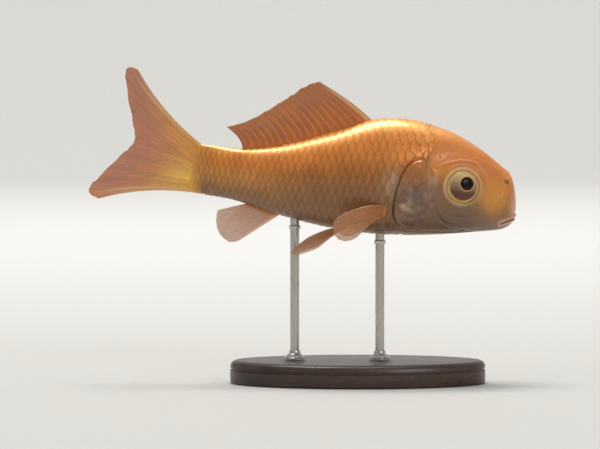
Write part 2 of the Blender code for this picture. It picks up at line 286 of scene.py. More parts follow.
# -------- the head's relief, in the fish's units
MOUTH_LENGTH, MOUTH_FALL = 0.047, 0.48
NOSTRIL_S, NOSTRIL_Z = 0.044, 0.068
HEAD_LINES = (  # height of a ridge or depth of a groove, its half width, and its (s, z) stops on the flank
    (-0.0024, 0.0034, ((0.286, 0.082), (0.266, 0.040), (0.276, -0.045), (0.254, -0.102), (0.130, -0.098))),
    (+0.0016, 0.0080, ((0.274, 0.078), (0.254, 0.040), (0.264, -0.040), (0.240, -0.090), (0.130, -0.086))),
    (-0.0012, 0.0030, ((0.252, -0.020), (0.236, -0.060), (0.160, -0.078), (0.097, -0.035), (0.096, 0.005))),
    (-0.0015, 0.0028, ((0.278, -0.046), (0.314, -0.084), (0.352, -0.080), (0.382, -0.036))),
    (-0.0016, 0.0036, ((0.058, 0.036), (0.070, 0.010), (0.078, -0.020), (0.074, -0.050))),
    (-0.0016, 0.0036, ((0.058, -0.070), (0.110, -0.092), (0.170, -0.094), (0.230, -0.114))),
    (+0.0018, 0.0100, ((0.080, 0.100), (0.132, 0.134), (0.212, 0.134), (0.262, 0.096))),
)
PORE_LINES = (  # how many pores a sense canal has, and its (s, z) stops
    (9, ((0.058, 0.097), (0.114, 0.142), (0.200, 0.149), (0.262, 0.126))),
    (11, ((0.092, 0.020), (0.097, -0.050), (0.177, -0.080), (0.256, -0.054), (0.262, 0.020))),
    (8, ((0.250, -0.034), (0.229, -0.100), (0.164, -0.092), (0.105, -0.080))),
)
COAT_START = {0: 0.262, 35: 0.270, 60: 0.292, 67: 0.308, 73: 0.342, 79: 0.358, 90: 0.372, 105: 0.381,
              122: 0.384, 134: 0.378, 145: 0.366, 155: 0.350, 180: 0.330}  # degrees of turn: s


def mirrored(points):
    """The same points with both sides of the fish folded onto the left."""
    return stack(points[..., 0], np.abs(points[..., 1]), points[..., 2])


def on_flank(s, z):
    """Points on the left flank."""
    return body(s, [flank_turn(*spot) for spot in zip(s, z)])


def flank_line(stops, count=240):
    return on_flank(*curve(stops, np.linspace(0, 1, count)).T)


def mouth_line():
    """Points from the middle of the mouth to its left corner."""
    snout = NOSE_LENGTH * (1 - np.cos(np.linspace(0.02, math.pi / 2, 80)))
    s = np.concatenate([snout, np.linspace(NOSE_LENGTH, MOUTH_LENGTH, 30)[1:]])
    return on_flank(s, MOUTH_Z - MOUTH_FALL * s)


def distance_to(points, line, reach=0.04):
    """How far each point is from a line of points, up to reach."""
    far = np.full(points.shape[:-1], reach)
    near = np.all((points > line.min(0) - reach) & (points < line.max(0) + reach), axis=-1)
    gaps = np.linalg.norm(points[near][:, None] - line[None], axis=-1)
    far[near] = np.minimum(gaps.min(1), reach)
    return far


def mouth_relief(points):
    """The slit of the mouth between two soft lips, with a fold round them."""
    far = distance_to(points, mouth_line())
    s, z = points[..., 0], points[..., 2]
    above = ease(z - (MOUTH_Z - MOUTH_FALL * s), -0.004, 0.004)
    fade = 1 - 0.35 * ease(s, 0.01, MOUTH_LENGTH)
    slit = -0.0085 * hump(far, 0.0025)
    lips = (0.0016 + 0.0012 * above) * hump(far - 0.0074, 0.0058)
    fold = -(0.0010 + 0.0016 * above) * hump(far - 0.0178, 0.0046)
    return (slit + lips) * fade + fold


def nostril():
    return body(NOSTRIL_S, flank_turn(NOSTRIL_S, NOSTRIL_Z))


def nostril_relief(points):
    """Two small holes one behind the other, with a flap between them and a rim round them."""
    off = points - nostril()
    far = np.linalg.norm(off, axis=-1)
    flap = hump(off[..., 0] + 0.35 * off[..., 2] - 0.0006, 0.0024) * hump(far, 0.0085)
    rim = 0.0016 * hump(far - 0.0115, 0.0050) * (1 - 0.5 * ease(off[..., 0], 0.0, 0.008))
    return rim - 0.0080 * hump(far, 0.0064) + 0.0090 * flap


def pore_relief(points):
    """Rows of small pits where the sense canals open."""
    lift = np.zeros(points.shape[:-1])
    for count, stops in PORE_LINES:
        lift -= 0.0016 * hump(distance_to(points, flank_line(stops, count), 0.012), 0.0028)
    return lift


EYE_OUT = np.array([-math.sin(EYE_FORWARD), math.cos(EYE_FORWARD), 0])
EYE_AHEAD = np.array([-math.cos(EYE_FORWARD), -math.sin(EYE_FORWARD), 0])
EYE_CENTRE = body(EYE_S, flank_turn(EYE_S, EYE_Z)) - np.array([0, EYE_SUNK, 0])


def round_eye(points):
    """Distance from the eye's axis, and height along it."""
    off = points - EYE_CENTRE
    return np.hypot(off @ EYE_AHEAD, off[..., 2]), off @ EYE_OUT


def eye_angle(points):
    """The way round the eye, from 0 ahead of it through pi/2 over it."""
    off = points - EYE_CENTRE
    return np.arctan2(off[..., 2], -off[..., 0])


def eye_relief(points):
    """The skin dips to the eyeball inside a soft, slightly uneven and wrinkled ring."""
    far, out = round_eye(points)
    around = eye_angle(points)
    socket = -0.0130 * ease(far, 0.0535, 0.0450)
    ring = 0.0030 * hump(far - 0.0580 + 0.0006 * np.sin(3 * around), 0.0060)
    ring = ring * (1 + 0.14 * np.sin(5 * around + 1) + 0.08 * np.sin(11 * around))
    creases = hump(far - 0.0635, 0.0022) + hump(np.sin(17 * around), 0.35) * hump(far - 0.0580, 0.0050)
    moat = -0.0018 * hump(far - 0.0725, 0.0060)
    return (socket + ring - 0.0005 * creases + moat) * ease(out, -0.03, -0.01)


def round_gill(points):
    """How far out a point is in the gill cover's outline (1 is its edge), and the angle there."""
    s, z = points[..., 0] - GILL_CENTRE[0], points[..., 2] - GILL_CENTRE[1]
    back = (s * math.cos(GILL_LEAN) + z * math.sin(GILL_LEAN)) / GILL_HALF_LENGTH
    up = (z * math.cos(GILL_LEAN) - s * math.sin(GILL_LEAN)) / GILL_HALF_HEIGHT
    share = (np.abs(back) ** GILL_FULLNESS + np.abs(up) ** GILL_FULLNESS) ** (1 / GILL_FULLNESS)
    return share, np.arctan2(up, back)


def gill_slit(angle):
    """1 along the open rear and lower edge of the gill cover, and 0 where it joins the head."""
    return ease(angle, -2.45, -1.85) * ease(angle, 1.60, 1.26)


def behind_gill(share):
    """How far behind the gill cover's edge a place is, from its share of the outline."""
    return (share - 1) * GILL_RADIUS


def gill_relief(points):
    """The cover swells a little, and its free edge stands up over the slit behind it."""
    share, angle = round_gill(points)
    beyond = behind_gill(share)
    edge = 0.0046 * ease(share, 0.25, 0.96) * ease(share, 1.016, 0.990)
    trough = -0.0062 * hump(beyond - 0.0030, 0.0026) * (1 - 0.5 * ease(angle, 0.7, 1.35))
    membrane = -0.0011 * hump(beyond + 0.0090, 0.0022)
    return (edge + trough + membrane) * gill_slit(angle) + 0.0022 * ease(share, 0.95, 0.25)


def throat_relief(points):
    """The two folds that run forward under the throat from the gill openings."""
    s, y, z = np.moveaxis(points, -1, 0)
    low = ease(z, -0.085, -0.105) * ease(s, 0.10, 0.15) * ease(s, 0.345, 0.315)
    return -0.0050 * hump(y - (0.006 + 0.20 * (s - 0.10)), 0.0040) * low


def coat_edge(s, turn):
    """How far behind the front edge of the scales a place is."""
    degrees = np.degrees(np.arccos(np.cos(turn)))
    return s - np.interp(degrees, list(COAT_START), list(COAT_START.values()))


def covered(s, turn):
    """1 where scales cover the skin and 0 on the head and over the tail fin's root.

    The change is gentle over the nape, and quick behind the gill opening.
    """
    degrees = np.degrees(np.arccos(np.cos(turn)))
    before = np.interp(degrees, [50, 72], [0.045, 0.006])
    after = np.interp(degrees, [50, 72], [0.050, 0.028])
    return ease(coat_edge(s, turn), -before, after) * ease(s, 1.050, 1.015)


def tail_ray_lines(points):
    """1 on the tail fin's rays where they show through the flesh over its root."""
    s, z = points[..., 0], points[..., 2]
    u = (1 - z / TAIL_ROOT_Z) / 2
    for _ in range(2):
        u = (1 - (z - (s - 1) * np.tan(tail_ray_lean(u, 0.0))) / TAIL_ROOT_Z) / 2
    return ray_ridges(u, np.zeros(u.shape), TAIL_RAYS, 1.0, 1.0) * ease(s, 0.995, 1.035)


def relief(s, turn):
    """How far the skin stands out from the solids, unbent."""
    points = mirrored(body(s, turn))
    head = points[..., 0] < HEAD_END
    lift = np.zeros(head.shape)
    spot = points[head]
    lift[head] = mouth_relief(spot) + nostril_relief(spot) + pore_relief(spot) + eye_relief(spot)
    lift[head] += gill_relief(spot) + throat_relief(spot)
    for height, half_width, stops in HEAD_LINES:
        lift[head] += height * hump(distance_to(spot, flank_line(stops)), half_width)
    lift += 0.0013 * tail_ray_lines(points)
    vent = 0.004 * hump(s - 0.722, 0.010) * hump(points[..., 1], 0.010) * ease(points[..., 2], -0.08, -0.10)
    return lift + vent - COAT_DEPTH * covered(s, turn)


# -------- colours
def colour(red, green, blue):
    """A display colour, 0 to 255, as linear light."""
    value = np.array([red, green, blue]) / 255
    return np.where(value <= 0.04045, value / 12.92, ((value + 0.055) / 1.055) ** 2.4)


# the back's pale gold is partly a painted highlight, and the bronze flank and tan belly are partly painted
# shade
BACK_GOLD_HIGHLIGHT = colour(240, 168, 84)
BACK_ORANGE = colour(216, 128, 46)
FLANK_ORANGE = colour(174, 108, 44)
FLANK_BRONZE_SHADE = colour(136, 98, 60)
BELLY_TAN_SHADE = colour(144, 114, 90)
STALK_GOLD = colour(222, 148, 70)
HEAD_ORANGE = colour(218, 128, 56)
CHEEK_GOLD = colour(230, 150, 58)
SNOUT_PINK = colour(228, 166, 142)
# the grey chin and brown jowl are painted shade under the head, the chin with some painted reflection
CHIN_SHADE = colour(136, 106, 90)
JOWL_SHADE = colour(112, 88, 70)
GILL_MAUVE = colour(108, 78, 70)
GILL_SILVER = colour(152, 126, 110)
# a pale colour for painted glints and painted sheen
PEARL_GLINT = colour(206, 172, 136)
EYE_CREAM = colour(220, 192, 136)
# painted shade for the top corner of the gill opening
NOTCH_SHADE = colour(140, 78, 24)
# painted shade for the mouth, the nostril and the gill slit
HOLLOW_SHADE = colour(74, 38, 28)
FIN_ORANGE = colour(200, 106, 28)
FIN_ROSE = colour(186, 98, 24)
FIN_PALE = colour(240, 202, 146)
FIN_TAN = colour(188, 112, 50)
FIN_BLUSH = colour(200, 138, 92)
TAIL_ROSE = colour(202, 124, 92)
TAIL_GOLD = colour(234, 166, 72)
TAIL_YELLOW = colour(252, 206, 96)
IRIS_BROWN = colour(112, 74, 62)
IRIS_CREAM = colour(236, 206, 156)
# painted shade where the eyeball meets its socket
SOCKET_SHADE = colour(84, 56, 44)
EYE_GOLD = colour(208, 158, 92)

MARKS = (  # soft marks on both flanks: s, z, half length, half height, share, colour
    (0.110, 0.120, 0.110, 0.070, 1.0, HEAD_ORANGE),
    (0.230, 0.150, 0.080, 0.060, 0.7, HEAD_ORANGE),
    (0.080, 0.020, 0.050, 0.055, 0.9, CHEEK_GOLD),
    (0.245, 0.088, 0.040, 0.026, 0.5, CHEEK_GOLD),
    (0.004, 0.000, 0.024, 0.054, 0.9, SNOUT_PINK),
    # painted shade on the chin and the lower head
    (0.060, -0.090, 0.090, 0.038, 0.9, CHIN_SHADE),
    (0.200, -0.072, 0.080, 0.050, 0.9, JOWL_SHADE),
    (0.318, -0.034, 0.058, 0.078, 1.0, GILL_MAUVE),
    (0.276, 0.016, 0.022, 0.045, 0.4, GILL_SILVER),
    (0.330, -0.020, 0.030, 0.040, 0.3, GILL_SILVER),
    # painted glints behind the eye and on the lower rear of the gill cover
    (0.272, 0.052, 0.014, 0.018, 0.5, PEARL_GLINT),
    (0.357, -0.041, 0.011, 0.009, 0.8, PEARL_GLINT),
    (0.341, -0.052, 0.018, 0.009, 0.5, PEARL_GLINT),
    (0.338, -0.026, 0.010, 0.014, 0.3, PEARL_GLINT),
    (1.070, -0.036, 0.050, 0.042, 0.7, TAIL_YELLOW),
    # painted shade in the top corner of the gill slit
    (0.300, 0.106, 0.011, 0.026, 0.7, NOTCH_SHADE),
)


def mottle(points):
    """A slow, fixed unevenness between -1 and 1, different on the two sides."""
    s, y, z = np.moveaxis(points, -1, 0)
    one = np.sin(41 * s + 9 * z + 3 * np.sign(y)) * np.sin(37 * z - 13 * s + 1.7)
    two = np.sin(83 * s - 29 * z + 5 * y) * np.sin(67 * z + 31 * s + 0.4)
    return 0.6 * one + 0.4 * two


def layer(tint, new, share):
    return tint + (new - tint) * np.asarray(share)[..., None]


def coat_colour(points):
    """The markings of skin and scales alike, from a point's place on the unbent fish: the fish's own
    colours, with painted shade low on the flanks and belly and painted highlights along the back and behind
    the gill cover.
    """
    s, z = points[..., 0], points[..., 2]
    top, bottom = stations(s)[:2]
    height = (z - bottom) / (top - bottom) + 0.030 * mottle(points)
    tint = np.broadcast_to(BELLY_TAN_SHADE, points.shape)
    # darker towards the belly as painted shade, lightest along the top of the back as a painted highlight,
    # over the fish's own orange
    for new, share in (
        (FLANK_BRONZE_SHADE, ease(height, 0.04, 0.20)),
        (FLANK_ORANGE, ease(height, 0.30, 0.58)),
        (STALK_GOLD, 0.75 * ease(s, 0.62, 0.90) * ease(height, 0.10, 0.55)),
        (BACK_ORANGE, ease(height, 0.52, 0.74)),
        (BACK_GOLD_HIGHLIGHT, ease(height, 0.80, 0.98)),
        (TAIL_GOLD, 0.9 * ease(s, 0.97, 1.02)),
        # a painted highlight on the shoulder just behind the gill cover
        (PEARL_GLINT, 0.60 * hump(s - 0.396, 0.019) * hump(z - 0.032, 0.040)),
    ):
        tint = layer(tint, new, share)
    for mark_s, mark_z, length, depth, share, new in MARKS:
        off = ((s - mark_s) / length) ** 2 + ((z - mark_z + 0.006 * mottle(points)) / depth) ** 2
        tint = layer(tint, new, share * np.exp(-(off**1.5)))
    return tint


def skin_colour(points):
    tint = coat_colour(points) * (0.92 + 0.12 * tail_ray_lines(points))[..., None]
    folded = mirrored(points)
    share, angle = round_gill(folded)
    slit = gill_slit(angle) * ease(angle, -2.15, -1.75) * ease(angle, 1.35, 0.70)
    # painted shade in the trough behind the gill cover's free edge
    tint = layer(tint, HOLLOW_SHADE, 0.30 * hump(behind_gill(share) - 0.0030, 0.0034) * slit)
    far, out = round_eye(folded)
    around = eye_angle(folded)
    uneven = 0.58 + 0.18 * np.sin(around - 0.3) - 0.14 * np.cos(around) + 0.08 * np.sin(4 * around + 2)
    tint = layer(tint, EYE_CREAM, uneven * hump(far - 0.0540, 0.0075) * ease(out, -0.03, -0.01))
    lips = distance_to(folded, mouth_line())
    tint = layer(tint, SNOUT_PINK, 0.8 * hump(lips - 0.007, 0.006))
    # painted shade in the slit of the mouth
    tint = layer(tint, HOLLOW_SHADE, hump(lips, 0.0036))
    hole = np.linalg.norm(folded - nostril(), axis=-1)
    # painted shade in the nostril
    return layer(tint, HOLLOW_SHADE, 0.8 * hump(hole, 0.0066))


# -------- the skin
SKIN_COLUMNS = 312


def even_turns(columns):
    """Turns all the way round that are evenly spaced over the skin of the cheek."""
    fine = np.linspace(0, math.pi, 721)
    run = np.linalg.norm(np.diff(body(0.2, fine), axis=0), axis=1)
    length = np.concatenate([[0], np.cumsum(run)])
    left = np.interp(np.linspace(0, length[-1], columns // 2 + 1), length, fine)
    return np.concatenate([left, 2 * math.pi - left[-2:0:-1]])


def skin_rings():
    """Stations of the skin's rings: close together on the head, wide apart under the scales."""
    snout = NOSE_LENGTH * (1 - np.cos(np.linspace(0.012, math.pi / 2, 58)))
    head = np.linspace(NOSE_LENGTH, 0.40, 208)[1:]
    trunk = np.linspace(0.40, 1.0, 25)[1:]
    wedge = np.linspace(1.0, 1.0 + TAIL_WEDGE, 24)[1:]
    return np.concatenate([snout, head, trunk, wedge])


def skin_faces(rows):
    """Rings of quads, a face over the snout, and a strip that joins both sides of the flat tail end."""
    faces = capped(rows, SKIN_COLUMNS)[:-1]
    last = (rows - 1) * SKIN_COLUMNS
    for i in range(SKIN_COLUMNS // 2):
        across = (i, i + 1, SKIN_COLUMNS - i - 1, (SKIN_COLUMNS - i) % SKIN_COLUMNS)
        faces.append([last + column for column in dict.fromkeys(across)])
    return faces


def unwrap_skin(skin, rows):
    """The skin rolled out flat, cut along the back."""
    row, column = np.divmod(corners(skin), SKIN_COLUMNS)
    across = column / SKIN_COLUMNS
    quads = (rows - 1) * SKIN_COLUMNS
    seam = np.zeros(len(across), bool)
    seam[: quads * 4] = np.repeat(column[: quads * 4].reshape(-1, 4).max(1) == SKIN_COLUMNS - 1, 4)
    across = np.where(seam & (column == 0), 1.0, across)
    unwrap(skin, stack(inset(across), inset(row / (rows - 1))))


def make_skin(look):
    rings = skin_rings()
    s, turn = np.meshgrid(rings, even_turns(SKIN_COLUMNS), indexing="ij")
    flat = body(s, turn)
    points = flat + normals(s, turn) * relief(s, turn)[..., None]
    skin = build("skin", place(points), skin_faces(len(rings)), look)
    store(skin, "tint", skin_colour(flat))
    share = round_gill(mirrored(flat))[0]
    cheek = ease(share, 1.20, 0.80) * ease(flat[..., 2], 0.10, 0.04)
    store(skin, "silver_sheen", cheek)
    store(skin, "glint", np.maximum(cheek, 0.7 * covered(s, turn)))
    store(skin, "bare", 1 - ease(s, 0.20, 0.40))
    unwrap_skin(skin, len(rings))
    flesh = ["head", "lower_jaw", "gill_cover_left", "gill_cover_right", "trunk", "tail_stalk"]
    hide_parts(*flesh)


# -------- the scales
SCALE_ROUND, SCALE_RINGS = 26, 6
LINE_S = [0.25, 0.38, 0.55, 0.80, 1.06]
LINE_Z = [0.070, 0.052, 0.022, 0.002, 0.000]  # the lateral line's height at those stations
WRAP_START, WRAP_END = 0.22, 1.07
FIRST_SCALE, LAST_SCALE = 0.245, 1.02
SCALE_ROWS = 9  # rows over the lateral line, and as many under it, where the body has room
MIDLINE_ROW = 20  # the number of the row astride the belly, and less than 0 on the back
MIDLINE_START, MIDLINE_END = 0.256, 0.965
BACK_GAP, BELLY_GAP = (0.475, 0.875), (0.728, 0.850)  # where a fin takes the place of midline scales
COAT_MARGIN = -0.006  # how far ahead of the coat's edge a scale may still be rooted
SCALE_ROOM = 0.42  # what a row needs beside the midlines, in pitches
PATCH_REACH = 0.0015  # half of the width that a scale takes up on the map


def row_pitch(s):
    return np.interp(s, [0.25, 0.45, 0.70, 0.95], [0.0315, 0.0345, 0.0310, 0.0260])


def along_pitch(s):
    return np.interp(s, [0.25, 0.50, 0.80, 1.0], [0.0240, 0.0230, 0.0205, 0.0180])


class Wrap:
    """Turns looked up by the distance round the body from the lateral line, at any station."""

    def __init__(self):
        self.s = np.linspace(WRAP_START, WRAP_END, 256)
        self.turn = np.linspace(-0.8, math.pi + 0.8, 560)
        points = body(self.s[:, None], self.turn[None])
        steps = np.linalg.norm(np.diff(points[..., 1:], axis=1), axis=-1)
        run = np.concatenate([np.zeros((len(self.s), 1)), np.cumsum(steps, axis=1)], axis=1)
        line = [flank_turn(s, np.interp(s, LINE_S, LINE_Z)) for s in self.s]
        start = [np.interp(turn, self.turn, row) for turn, row in zip(line, run)]
        self.run = run - np.array(start)[:, None]
        self.reach = np.linspace(-0.40, 0.36, 700)
        self.table = np.array([np.interp(self.reach, row, self.turn) for row in self.run])
        self.back = np.array([np.interp(0, self.turn, row) for row in self.run])
        self.belly = np.array([np.interp(math.pi, self.turn, row) for row in self.run])

    def turns(self, s, distance):
        row = np.clip((s - self.s[0]) / (self.s[1] - self.s[0]), 0, len(self.s) - 1.001)
        column = (distance - self.reach[0]) / (self.reach[1] - self.reach[0])
        column = np.clip(column, 0, len(self.reach) - 1.001)
        i, j = row.astype(int), column.astype(int)
        p, q = row - i, column - j
        low = self.table[i, j] * (1 - q) + self.table[i, j + 1] * q
        high = self.table[i + 1, j] * (1 - q) + self.table[i + 1, j + 1] * q
        return low * (1 - p) + high * p


def scale_roots(wrap):
    """Station, distance from the lateral line and row number of every scale on one side."""
    stops = [FIRST_SCALE]
    while stops[-1] < LAST_SCALE:
        stops.append(stops[-1] + float(along_pitch(stops[-1])))
    roots = []
    for row in range(-SCALE_ROWS, SCALE_ROWS + 1):
        for stop in stops:
            s = stop + 0.5 * (row % 2) * float(along_pitch(stop))
            distance = row * float(row_pitch(s))
            back, belly = np.interp(s, wrap.s, wrap.back), np.interp(s, wrap.s, wrap.belly)
            room = SCALE_ROOM * float(row_pitch(s))
            if distance < back + room or distance > belly - room:
                continue
            turn = wrap.turns(np.array(s), np.array(distance))
            end = 1.016 + 0.020 * (float(body(s, turn)[2]) / TAIL_ROOT_Z) ** 2
            if coat_edge(s, turn) > COAT_MARGIN and s < end:
                roots.append((s, distance, row))
    return roots


def midline_roots(wrap):
    """The scales that sit astride the back and the belly."""
    roots = []
    back = (wrap.back, 0.0, -MIDLINE_ROW, BACK_GAP)
    belly = (wrap.belly, math.pi, MIDLINE_ROW, BELLY_GAP)
    for edge, turn, row, (fin_start, fin_end) in (back, belly):
        s = MIDLINE_START
        while s < MIDLINE_END:
            if coat_edge(s, turn) > COAT_MARGIN and not fin_start < s < fin_end:
                roots.append((s, float(np.interp(s, wrap.s, edge)), row))
            s += float(along_pitch(s))
    return roots


def scale_plate():
    """Places of one scale's points: along (-1 front to 1 rear), across (-1 to 1), and its faces."""
    angle = np.linspace(0, 2 * math.pi, SCALE_ROUND, endpoint=False)
    rim_x, rim_y = rounded(np.cos(angle), 2.3), rounded(np.sin(angle), 2.3)
    rings = np.sin(np.linspace(0, math.pi / 2, SCALE_RINGS + 1))[1:]
    along = np.concatenate([[0], (rings[:, None] * rim_x).ravel(), rim_x])
    across = np.concatenate([[0], (rings[:, None] * rim_y).ravel(), rim_y])
    under = np.zeros(len(along))
    under[-SCALE_ROUND:] = 1
    faces = [[0, 1 + i, 1 + (i + 1) % SCALE_ROUND] for i in range(SCALE_ROUND)]
    faces += (grid_faces(SCALE_RINGS + 1, SCALE_ROUND, True)[:, ::-1] + 1).tolist()
    last = 1 + SCALE_RINGS * SCALE_ROUND
    faces.append(list(range(last + SCALE_ROUND - 1, last - 1, -1)))
    return along, across, under, faces


SCALE_FRONT, SCALE_REAR = -0.06 * MM, 0.21 * MM  # height of a scale's two ends over the skin
SCALE_SIDE_DROP, SCALE_THICKNESS = 0.05 * MM, 0.06 * MM
SCALE_TUCK = 0.50 * MM  # how deep the first scales start under the skin of the head
SCALE_DIVE = 0.95 * MM  # how deep scales pass under the slit behind the gill cover
SCALE_LENGTH, SCALE_WIDTH = 1.10, 1.00  # half length and half width, in pitches


def scale_lift(along, across, under, small, on_line, uneven):
    """How high the points of scales stand over the skin: more at the rear, with a tube on the line."""
    rear = (along + 1) / 2
    rise = (SCALE_REAR - SCALE_FRONT) * (0.35 + 0.65 * small) + 0.02 * MM * uneven
    height = SCALE_FRONT + rise * rear**0.85
    height = height - SCALE_SIDE_DROP * across**2 * rear - SCALE_THICKNESS * under
    tube = 0.06 * MM * hump(across, 0.08) * ease(along, 0.0, 0.3) * ease(along, 0.95, 0.7)
    return height + tube * on_line * (1 - under)


def scale_shadow_and_rims(along, across, coat, on_line):
    """Scales are darker near the root as painted shadow of the scale ahead, and darker round the rim as
    their own edging, with a dark pore on the lateral line.
    """
    # painted shadow at the root, less where no scale lies ahead, as on the first row
    shade = 0.78 + 0.30 * np.maximum(ease(along, 0.0, 0.55), 0.7 * ease(coat, 0.98, 0.6))
    shade = shade - 0.26 * ease(np.hypot(along, across), 0.84, 1.0) * (0.5 + 0.5 * coat)
    return shade * (1 - 0.30 * hump(across, 0.08) * hump(along - 0.80, 0.12) * on_line)


def make_scales(name, roots, side, wrap, look, seed):
    """One side's scales as one mesh of thin closed plates, each lying over the next one back."""
    along, across, under, one_plate = scale_plate()
    rng = np.random.default_rng(seed)
    jitter = rng.uniform(-1, 1, (len(roots), 6))
    s0, d0, row = (np.array(column)[:, None] for column in zip(*sorted(roots)))
    pitch_s, pitch_d = along_pitch(s0), row_pitch(s0)
    grow = 1 + 0.03 * jitter[:, :1]
    small = np.clip((coat_edge(s0, wrap.turns(s0, d0)) + 0.03) / 0.07, 0.6, 1)
    small = small * np.clip((1.06 - s0) / 0.12, 0.55, 1)
    s = s0 + along * SCALE_LENGTH * pitch_s * grow * small + 0.02 * pitch_s * jitter[:, 1:2]
    distance = d0 + across * SCALE_WIDTH * pitch_d * grow * small**0.5
    distance = distance + 0.05 * pitch_d * jitter[:, 2:3] * along
    turn = wrap.turns(s, distance)
    height = scale_lift(along, across, under, small, row == 0, jitter[:, 3:4])
    flat, coat = body(s, turn), covered(s, turn)
    height = height - COAT_DEPTH * coat - SCALE_TUCK * (1 - coat) * (1 - (along + 1) / 2)
    share, angle = round_gill(mirrored(flat))
    height = height - SCALE_DIVE * ease(behind_gill(share), 0.0080, 0.0030) * gill_slit(angle)
    points = flat + normals(s, turn) * height[..., None]
    mirror = np.array([1, side, 1])
    starts = range(0, len(s0) * len(along), len(along))
    plate = [face[::-1] for face in one_plate] if side > 0 else one_plate
    faces = [[corner + first for corner in face] for first in starts for face in plate]
    scales = build(name, place(points * mirror), faces, look)
    tint = coat_colour(body(s0, wrap.turns(s0, d0)) * mirror) * (1 + 0.07 * jitter[:, 4:5, None])
    tint = 0.5 * tint + 0.5 * coat_colour(flat * mirror)
    store(scales, "tint", tint * scale_shadow_and_rims(along, across, coat, row == 0)[..., None])
    store(scales, "local", stack(along, across, 0.5 + 0.5 * jitter[:, 5:]))
    patch_u = inset(np.clip(turn[:, :1], 0, math.pi) / math.pi) + PATCH_REACH * across
    patch_v = inset((s0 - WRAP_START) / (WRAP_END - WRAP_START)) + PATCH_REACH * along
    unwrap(scales, stack(patch_u, patch_v).reshape(-1, 2)[corners(scales)])


# -------- the eyes
PUPIL, PUPIL_RING, IRIS = 0.0208, 0.0232, 0.0390  # radii
GAZE_AHEAD, GAZE_UP = 0.008, 0.012  # how far the pupil lies from the middle of the eye
LENS_BULGE, IRIS_DIP = 0.0013, 0.0008
EYE_RINGS, EYE_COLUMNS = 64, 80


def make_eye(side, look):
    """One eyeball with its lens bulging a little through the iris."""
    polar = np.linspace(0, math.pi, EYE_RINGS)[1:-1]
    rings = turned(EYE_RADIUS * np.sin(polar), EYE_DEPTH * np.cos(polar), EYE_COLUMNS)
    poles = [(0, 0, EYE_DEPTH), (0, 0, -EYE_DEPTH)]
    ahead, up, out = np.concatenate([rings.reshape(-1, 3), poles]).T
    front = out > 0
    gaze = np.hypot(ahead - GAZE_AHEAD, up - GAZE_UP)
    out = out + front * (LENS_BULGE * ease(gaze, PUPIL, 0.014) - IRIS_DIP * hump(gaze - 0.029, 0.006))
    points = EYE_CENTRE + ahead[:, None] * EYE_AHEAD + up[:, None] * [0, 0, 1] + out[:, None] * EYE_OUT
    pole, last = len(out) - 2, len(out) - 2 - EYE_COLUMNS
    faces = grid_faces(len(rings), EYE_COLUMNS, True).tolist()
    for i, beside in enumerate(np.roll(range(EYE_COLUMNS), -1).tolist()):
        faces += [[pole, beside, i], [pole + 1, last + i, last + beside]]
    if side < 0:
        faces = [face[::-1] for face in faces]
    name = "left" if side > 0 else "right"
    eye = build("eyeball_" + name, place(points * np.array([1, side, 1])), faces, look)
    store(eye, "gaze", np.where(front, gaze, EYE_RADIUS))
    store(eye, "far", np.where(front, np.hypot(ahead, up), EYE_RADIUS))
    store(eye, "up", up / EYE_RADIUS)
    store(eye, "spoke", np.arctan2(up - GAZE_UP, ahead - GAZE_AHEAD))
    flat_u = np.where(front, 0.26, 0.74) + 0.22 * ahead / EYE_RADIUS
    flat_v = 0.5 + 0.44 * up / EYE_RADIUS
    unwrap(eye, stack(flat_u, flat_v)[corners(eye)])
    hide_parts("eye_" + name)


# -------- the fins
DORSAL_START, DORSAL_LENGTH = 0.480, 0.392
DORSAL_EDGE = ((0.660, 0, 0.316), (0.735, 0, 0.292), (0.81, 0, 0.176), (0.930, 0, 0.142))
ANAL_START, ANAL_LENGTH = 0.735, 0.110
ANAL_EDGE = ((0.850, 0, -0.208), (0.905, 0, -0.246), (0.945, 0, -0.172), (0.928, 0, -0.122))


def dorsal_sheet(u, v):
    root = body(DORSAL_START + DORSAL_LENGTH * u, 0.0)
    points = root + (curve(DORSAL_EDGE, u) - root) * v[..., None]
    points[..., 0] -= 0.013 * np.sin(math.pi * np.clip(v, 0, 1))
    points[..., 1] += 0.006 * v * np.sin(5 * u)
    return points


def anal_sheet(u, v):
    root = body(ANAL_START + ANAL_LENGTH * u, math.pi)
    points = root + (curve(ANAL_EDGE, u) - root) * v[..., None]
    points[..., 1] += 0.010 * v * np.sin(3 * u + 0.6)
    return points


TAIL_EDGE_LENGTH, TAIL_MIDDLE_LENGTH = 0.378, 0.225
TAIL_UPPER_ANGLE, TAIL_LOWER_ANGLE = math.radians(43), math.radians(-10)


def tail_ray_lean(u, v):
    """The angle over level of each ray, which sets off near the tail's middle line and bends outwards."""
    angle = TAIL_UPPER_ANGLE + (TAIL_LOWER_ANGLE - TAIL_UPPER_ANGLE) * u
    lean = (TAIL_UPPER_ANGLE + TAIL_LOWER_ANGLE) / 2
    return lean + (angle - lean) * (0.55 + 0.45 * v)


def tail_sheet(u, v):
    off_middle = np.abs(2 * u - 1)
    tip_round = 1 - 0.17 * np.clip((off_middle - 0.8) / 0.2, 0, 1) ** 2.5
    extra = TAIL_EDGE_LENGTH - TAIL_MIDDLE_LENGTH
    length = (TAIL_MIDDLE_LENGTH + extra * off_middle**1.35) * tip_round
    bent = tail_ray_lean(u, v)
    s = 1.0 + length * v * np.cos(bent)
    z = TAIL_ROOT_Z * (1 - 2 * u) + length * v * np.sin(bent)
    y = 0.012 * v**2 * np.sin(6 * u)
    return stack(s, y, z)


PAIRED_SINK = 0.008  # how deep the root of a paired fin starts under the skin


